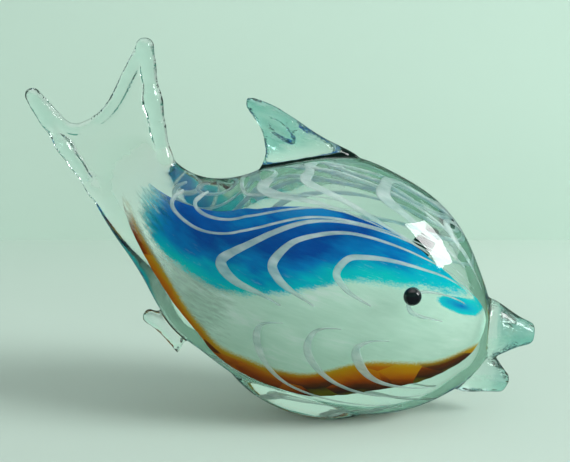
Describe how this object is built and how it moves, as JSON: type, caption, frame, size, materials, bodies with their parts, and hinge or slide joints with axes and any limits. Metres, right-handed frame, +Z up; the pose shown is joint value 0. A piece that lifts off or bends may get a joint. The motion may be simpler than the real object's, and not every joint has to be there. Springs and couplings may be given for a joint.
{
  "type": "glass fish figurine",
  "caption": "Solid glass fish figurine resting on its belly, tail raised and forked, with a coloured core under clear glass and a pointed dorsal fin.",
  "frame": {"origin": "middle of the ground flat under the belly, on the table plane", "axes": "+X towards the head along the fish's length, +Z up, +Y towards the fish's left side"},
  "size_m": [0.1924, 0.0646, 0.1462],
  "materials": {
    "clear_glass": "fire-polished clear glass with a faint green tint",
    "opal_glass": "milky opal glass",
    "blue_glass": "transparent blue glass with a streaky edge",
    "amber_glass": "transparent amber glass with a yellow rim",
    "white_glass": "opaque white glass thread",
    "black_glass": "opaque black glass, fire-polished"
  },
  "bodies": {
    "root": {"clear_casing": "clear_glass", "clear_gather": "clear_glass", "milky_core": "opal_glass", "blue_back": "blue_glass", "amber_belly": "amber_glass", "flank_threads": "white_glass", "back_threads": "white_glass", "belly_threads": "white_glass", "dorsal_fin": "clear_glass", "anal_fin": "clear_glass", "upper_lip": "clear_glass", "lower_lip": "clear_glass", "belly_pad": "clear_glass", "right_eye": "black_glass", "left_eye": "black_glass"}
  },
  "joints": []
}
